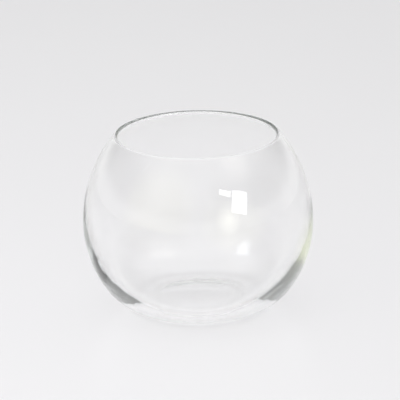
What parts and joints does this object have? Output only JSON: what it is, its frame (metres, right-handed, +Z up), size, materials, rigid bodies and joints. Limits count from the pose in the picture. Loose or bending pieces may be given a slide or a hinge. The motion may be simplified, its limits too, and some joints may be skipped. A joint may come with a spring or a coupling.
{
  "type": "rose bowl vase",
  "caption": "Rounded clear-glass rose bowl vase with a wide, rounded lip and a small flat foot, for short-stemmed flowers, floating blooms or candles.",
  "frame": {"origin": "centre of the foot ring, in the plane that the bowl rests on", "axes": "+Z up along the bowl's axis of revolution, from the foot to the mouth; +X to the right and +Y away from the viewer in the picture"},
  "size_m": [0.152, 0.152, 0.119],
  "materials": {
    "clear_glass": "clear, fire-polished, smooth inside and out"
  },
  "bodies": {
    "root": {"glass_bowl": "clear_glass"}
  },
  "joints": []
}
